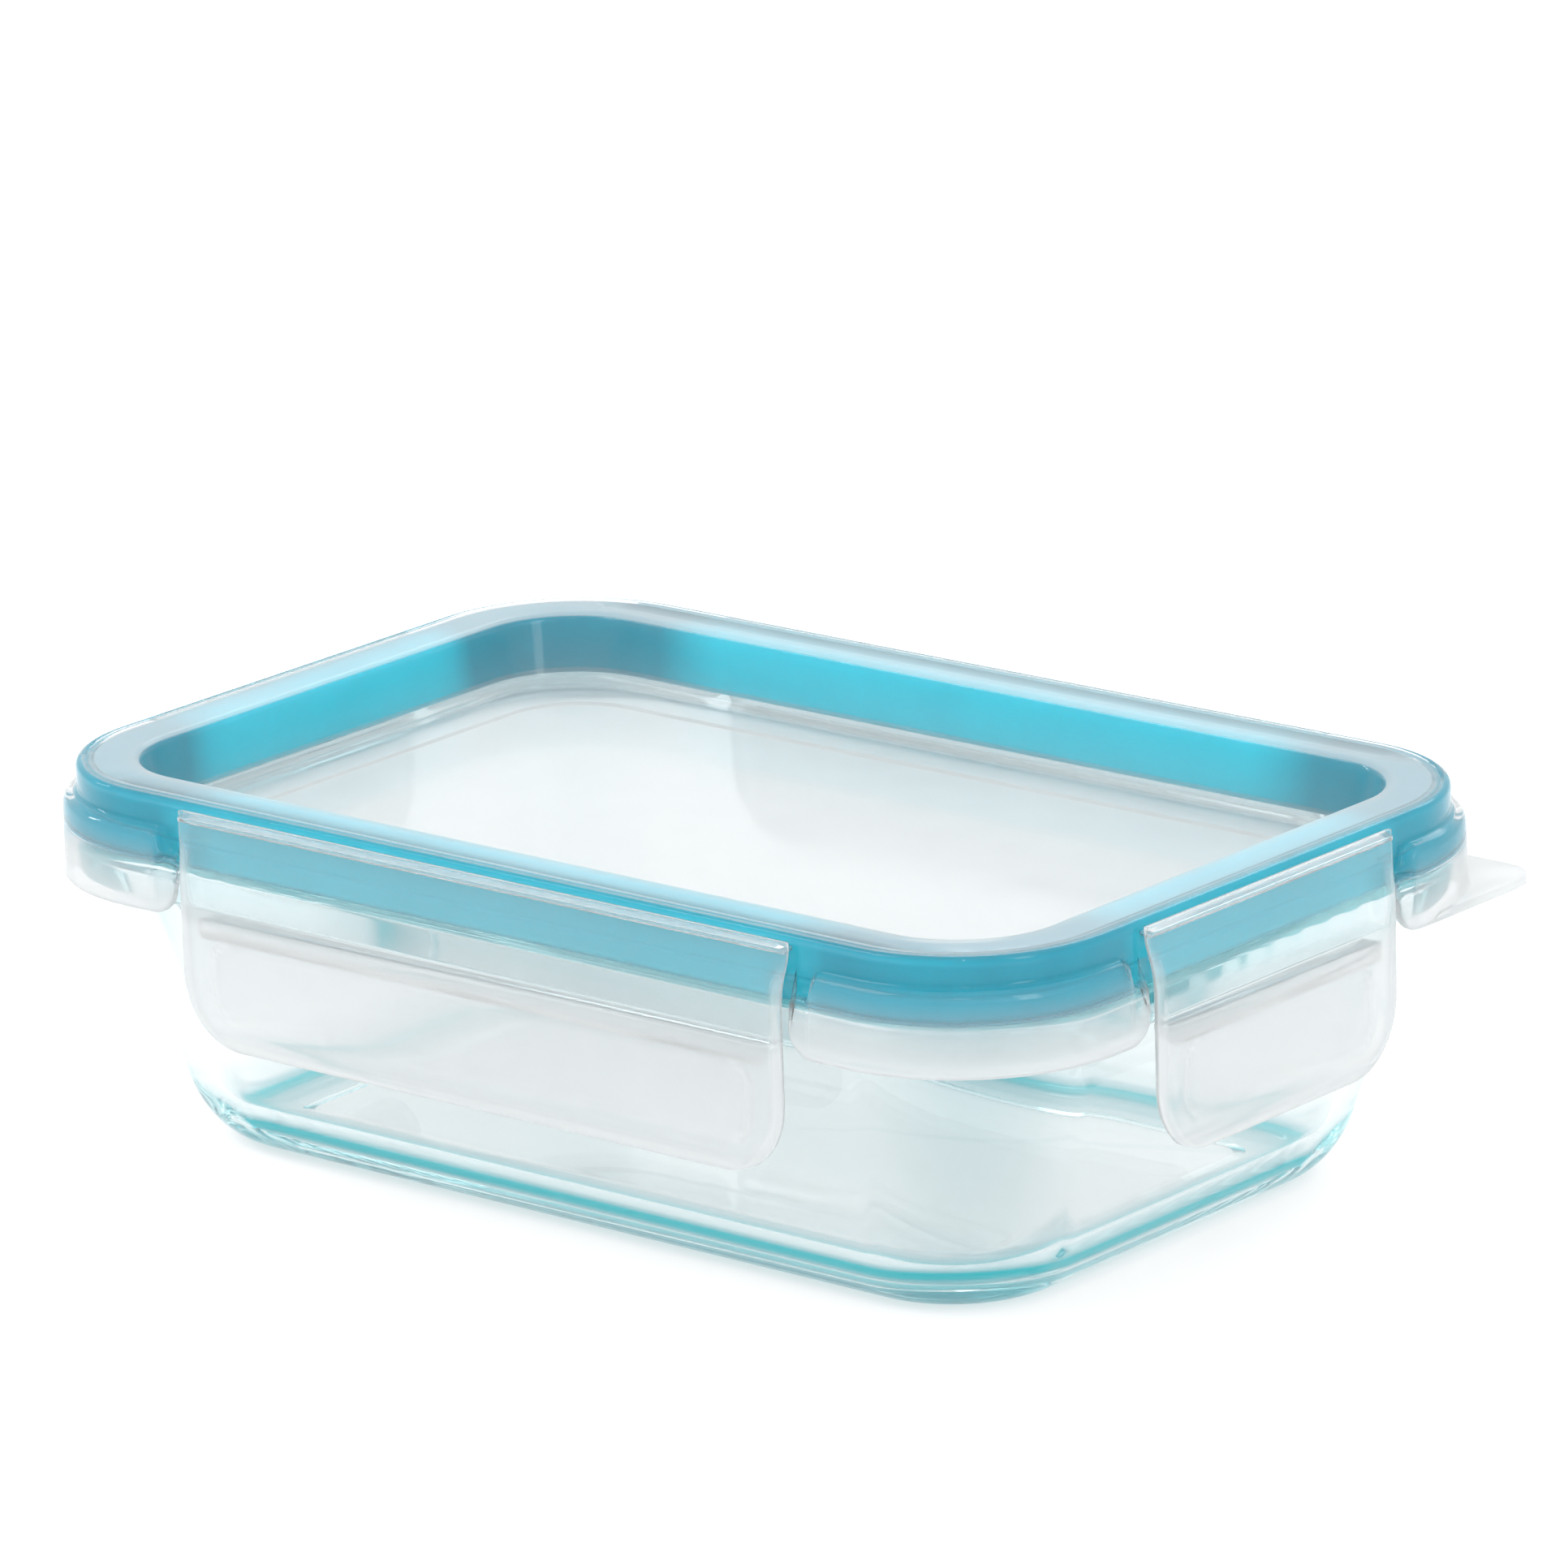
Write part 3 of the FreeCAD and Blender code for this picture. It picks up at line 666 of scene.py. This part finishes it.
    skirts = [skirtRings(s) for s in samples]
    rings, milk = [], []
    for st in head:
        rings.append([outlinePoint(s, *st) for s in samples])
        milk += [0.5 if st[3] < floor else 0.05] * len(samples)
    for k in range(16):
        ring = []
        for s, line in zip(samples, skirts):
            out, z = line[k]
            ring.append(outlinePoint(s, a + out, b + out, r + out, z))
            milk.append(milkAt(-out, z))
        rings.append(ring)
    for st in tail:
        rings.append([outlinePoint(s, *st) for s in samples])
        milk += [milkAt(a - st[0], st[3])] * len(samples)
    lid = ringLoft("lidShell", samples, rings, lidPlastic, milk=milk)
    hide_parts("lid")
    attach(lid, "lid_assembly")
    return lid


makeLid()
print("lid made")

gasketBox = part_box("gasket")
gasketSet = {"outerInset": 0.5, "innerInset": 8.75, "topCover": 0.65, "bead": 1.5, "round": 1.3}


def makeGasket():
    d = gasketSet
    a, b = lidSet["half"]
    r = lidSet["radius"]
    low, high = gasketBox[0].z / mm, lidBox[1].z / mm - d["topCover"]
    out, inn = d["outerInset"], d["innerInset"]
    mid = (out + inn) / 2

    def at(i, z, fillet=0.0):
        return (a - i, b - i, r - i, z, fillet)

    # hollow U with a soft foot on each leg
    profile = [at(mid - 1.2, low + 1.2), at(mid - 1.2, low, 0.8), at(out, low, d["bead"]),
               at(out, low + 3.2, 0.4), at(out + 0.25, low + 3.7, 0.4), at(out, low + 4.2, 0.4),
               at(out, high, d["round"]), at(inn, high, d["round"]), at(inn + 0.9, low, d["bead"]),
               at(mid + 1.2, low, 0.8), at(mid + 1.2, low + 1.2), at(mid, low + 1.8, 0.6)]
    stations = soften(profile, 5)
    samples = perimeter(evenStops(24), evenStops(16), 18)
    rings = [[outlinePoint(s, *st) for s in samples] for st in stations]
    # 1 behind the latches, 0 round the corners and along the upper outer edge: painted light, the teal
    # lifted where the closed latches shade it
    along = []
    for cx, cy, ux, uy in samples:
        past = max(abs(cx) * (a - r) * abs(uy) - lidSet["longLatch"] / 2,
                   abs(cy) * (b - r) * abs(ux) - lidSet["shortLatch"] / 2)
        along.append(0.0 if ux and uy else 0.8 * (1 - smooth(past, -3, 4)))
    straight = []
    for st in stations:
        fade = 1 - 0.7 * smooth(st[3], high - 1.6, high - 0.5) if a - st[0] < mid else 1.0
        straight += [value * fade for value in along]
    ring = ringLoft("gasketRing", samples, rings, silicone, closed=True, milk=straight, mask="straight")
    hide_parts("gasket")
    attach(ring, "lid_assembly")
    return ring


makeGasket()
print("gasket made")

latchSet = {"height": 34.4, "thickness": 1.3, "bow": 1.1, "bowHeight": 9.0, "corner": 11.0,
            "waist": 0.7, "panelTop": 15.5, "panelBottom": 3.2, "panelSide": 4.6, "panelDepth": 0.28,
            "panelRadius": 5.0, "lip": 0.5, "lipHeight": 2.2, "gap": 0.3, "barDepth": 0.26,
            "ribGrip": 0.8, "ribHeight": 2.0, "ribClearance": 0.2, "ribEnd": 4.0, "flangeInset": 0.7,
            "step": 0.75, "hood": 1.1}
latchSides = [("front", "longLatch", 0), ("back", "longLatch", 180),
              ("right", "shortLatch", 90), ("left", "shortLatch", -90)]
jointOf = {j["child"]: j for j in frame["joints"]}


def roundedBoxDistance(x, y, halfX, halfY, radius):
    # signed distance to a rounded rectangle, negative inside
    qx, qy = abs(x) - halfX + radius, abs(y) - halfY + radius
    return math.hypot(max(qx, 0), max(qy, 0)) + min(max(qx, qy), 0) - radius


def makeLatch(side, lengthKey, turn):
    d = latchSet
    full, tall, cornerRound = lidSet[lengthKey] / 2, d["height"], d["corner"]
    thick = d["thickness"]

    def halfAt(v):
        half = full - d["waist"] * smooth(v, 0.5, 6.0)
        below = v - (tall - cornerRound)
        if below > 0:
            half -= cornerRound - math.sqrt(max(0.0, cornerRound ** 2 - below * below))
        return half

    def relief(x, v):
        # finger panel sunk between raised end bars
        centre = tall - d["panelBottom"] - (d["panelTop"] - 0.5) / 2
        halfX, halfY = full - d["panelSide"], d["panelTop"] / 2
        edge = roundedBoxDistance(x, v - centre, halfX, halfY, d["panelRadius"])
        sunk = d["panelDepth"] * (1 - smooth(edge, -2.6, 0.2))
        bar = d["barDepth"] * max(0.0, 1 - abs(edge + 2.3) / 0.7) * smooth(abs(x), halfX - 7, halfX - 4)
        return bar - sunk, edge, bar / d["barDepth"]

    rows = [-d["hood"], 0.15 - d["hood"], 0.5 - d["hood"], 0.0, 0.4, 1.0]
    while rows[-1] < tall - cornerRound:
        rows.append(rows[-1] + 0.85)
    base = tall - cornerRound
    rows = [v for v in rows if v < base - 0.3]
    rows += [base + cornerRound * math.sin(math.pi / 2 * i / 16) for i in range(17)]
    # columns crowd towards the two side edges
    across = [math.sin(math.pi / 2 * t) * 0.35 + t * 0.65 for t in evenStops(round(2 * full / d["step"]))]
    nRow, nCol = len(rows), len(across)
    outer, inner, milkOut, milkIn = [], [], [], []
    for v in rows:
        half = halfAt(v)
        bow = d["bow"] * smooth(v, -1.0, d["bowHeight"])
        for u in across:
            x = u * half
            rise, edge, bar = relief(x, v)
            rimFade = 1 - smooth(min(half - abs(x), tall - v, v + d["hood"]), 0.0, 0.5)
            out = bow + rise - 0.25 * rimFade
            lip = d["lip"] * smooth(v, tall - d["lipHeight"] - 0.6, tall - d["lipHeight"])
            back = bow - thick - lip + 0.25 * rimFade
            outer.append((x, -out, -v))
            inner.append((x, -back, -v))
            rimBand = 1 - smooth(min(half - abs(x), tall - v), 0.8, 2.2)
            panel = 1 - smooth(edge, -3.0, -0.5)
            cloud = 0.14 + 0.68 * smooth(v, 9, 17) + 0.2 * panel
            cloud = min(1.3, cloud + 0.55 * rimBand * smooth(v, 1, 6) + 0.3 * bar)
            milkOut.append(cloud)
            milkIn.append(cloud * 0.8)
    n = nRow * nCol
    verts, milk = outer + inner, milkOut + milkIn
    faces = []
    for i in range(nRow - 1):
        for j in range(nCol - 1):
            p = i * nCol + j
            faces.append((p, p + nCol, p + nCol + 1, p + 1))
            faces.append((n + p, n + p + 1, n + p + nCol + 1, n + p + nCol))
    loop = (list(range(nCol)) + [i * nCol + nCol - 1 for i in range(1, nRow)]
            + [(nRow - 1) * nCol + j for j in range(nCol - 2, -1, -1)]
            + [i * nCol for i in range(nRow - 2, 0, -1)])
    # the cut edge is rounded by one more loop, halfway through the wall
    start = len(verts)
    for p in loop:
        o, q = Vector(verts[p]), Vector(verts[n + p])
        middle = (o + q) / 2
        if p % nCol in (0, nCol - 1):
            middle.x += math.copysign(0.16, o.x)
        verts.append(tuple(middle))
        milk.append(0.6)
    for k in range(len(loop)):
        m = (k + 1) % len(loop)
        faces.append((loop[k], loop[m], start + m, start + k))
        faces.append((start + k, start + m, n + loop[m], n + loop[k]))
    # locking rib on the inside, under the flange
    hinge = Vector(jointOf[side + "_clip"]["pos_m"]) / mm
    rim = dishBox[1].z / mm
    ribTop = rim - dishSet["flangeHeight"] - d["ribClearance"] - hinge.z
    back = thick - d["bow"]
    tip = d["gap"] + thick + d["flangeInset"] + d["ribGrip"]
    ribLow = ribTop - d["ribHeight"]
    ribMid = ribTop - d["ribHeight"] / 2
    section = [(back - 0.6, ribTop), (tip - 0.3, ribTop), (tip, ribTop - 0.3), (tip, ribMid),
               (tip - 0.5, ribMid - 0.6), (back - 0.6, ribLow - 1.0)]
    reach = full - d["ribEnd"]
    steps = [(-reach, 0.0), (-reach + 0.15, 0.75), (-reach + 0.6, 1.0), (reach - 0.6, 1.0),
             (reach - 0.15, 0.75), (reach, 0.0)]  # place along the latch, and how full the rib is there
    cz = sum(z for y, z in section) / len(section)
    first, m = len(verts), len(section)
    for x, grow in steps:
        grow = 0.35 + 0.65 * grow
        for y, z in section:
            verts.append((x, y if y < back else back + (y - back) * grow, cz + (z - cz) * grow))
            milk.append(0.35)
    for i in range(len(steps) - 1):
        for j in range(m):
            p, q = first + i * m + j, first + i * m + (j + 1) % m
            faces.append((p, q, q + m, p + m))
    faces.append(tuple(first + j for j in range(m - 1, -1, -1)))
    faces.append(tuple(first + (len(steps) - 1) * m + j for j in range(m)))
    piece = buildMesh(side + "LatchPlate", verts, faces, latchPlastic, milk)
    place = Matrix.Translation(hinge * mm) @ Matrix.Rotation(math.radians(turn), 4, "Z")
    piece.data.transform(place)
    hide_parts(side + "_latch")
    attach(piece, side + "_clip")
    return piece


for side, lengthKey, turn in latchSides:
    makeLatch(side, lengthKey, turn)
print("latches made")

webSet = {"thickness": 0.5, "rise": 0.2, "lift": -0.15, "step": 2.0}


def makeWeb(side, lengthKey, turn):
    # thin strip from the ridge's side over to the latch's top edge
    d = webSet
    full = lidSet[lengthKey] / 2
    reach = latchSet["gap"] + latchSet["thickness"]
    across = [reach + 0.25, reach, reach * 0.8, reach * 0.6, reach * 0.4, reach * 0.2, 0.06]
    count = round(2 * full / d["step"])
    verts, milk = [], []
    ringSize = 2 * len(across)
    for i in range(count + 1):
        x = -full + 2 * full * i / count
        for y in across:
            lift = d["rise"] * (y / reach) + d["lift"]
            verts.append((x, y, lift + d["thickness"] * 0.5))
            milk.append(0.2)
        for y in reversed(across):
            lift = d["rise"] * (y / reach) + d["lift"]
            verts.append((x, y, lift - d["thickness"] * 0.5 + (0.0 if y > 0.1 else -0.1)))
            milk.append(0.2)
    faces = []
    for i in range(count):
        for j in range(ringSize):
            p, q = i * ringSize + j, i * ringSize + (j + 1) % ringSize
            faces.append((p, p + ringSize, q + ringSize, q))
    faces.append(tuple(range(ringSize)))
    faces.append(tuple(count * ringSize + j for j in range(ringSize - 1, -1, -1)))
    piece = buildMesh(side + "HingeWeb", verts, faces, latchPlastic, milk)
    hinge = Vector(jointOf[side + "_clip"]["pos_m"])
    place = Matrix.Translation(hinge) @ Matrix.Rotation(math.radians(turn), 4, "Z")
    piece.data.transform(place)
    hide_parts(side + "_hinge_web")
    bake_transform(piece)
    return piece


for side, lengthKey, turn in latchSides:
    makeWeb(side, lengthKey, turn)
print("film hinges made")


def makeFloorPlane():
    s = lightSet["floorSize"] / 2
    mesh = bpy.data.meshes.new("studioFloor")
    mesh.from_pydata([(-s, -s, 0), (s, -s, 0), (s, s, 0), (-s, s, 0)], [], [(0, 1, 2, 3)])
    mesh.materials.append(makeFloor())
    floor = bpy.data.objects.new("studioFloor", mesh)
    floor.location.z = -0.0002
    bpy.context.scene.collection.objects.link(floor)


makeFloorPlane()
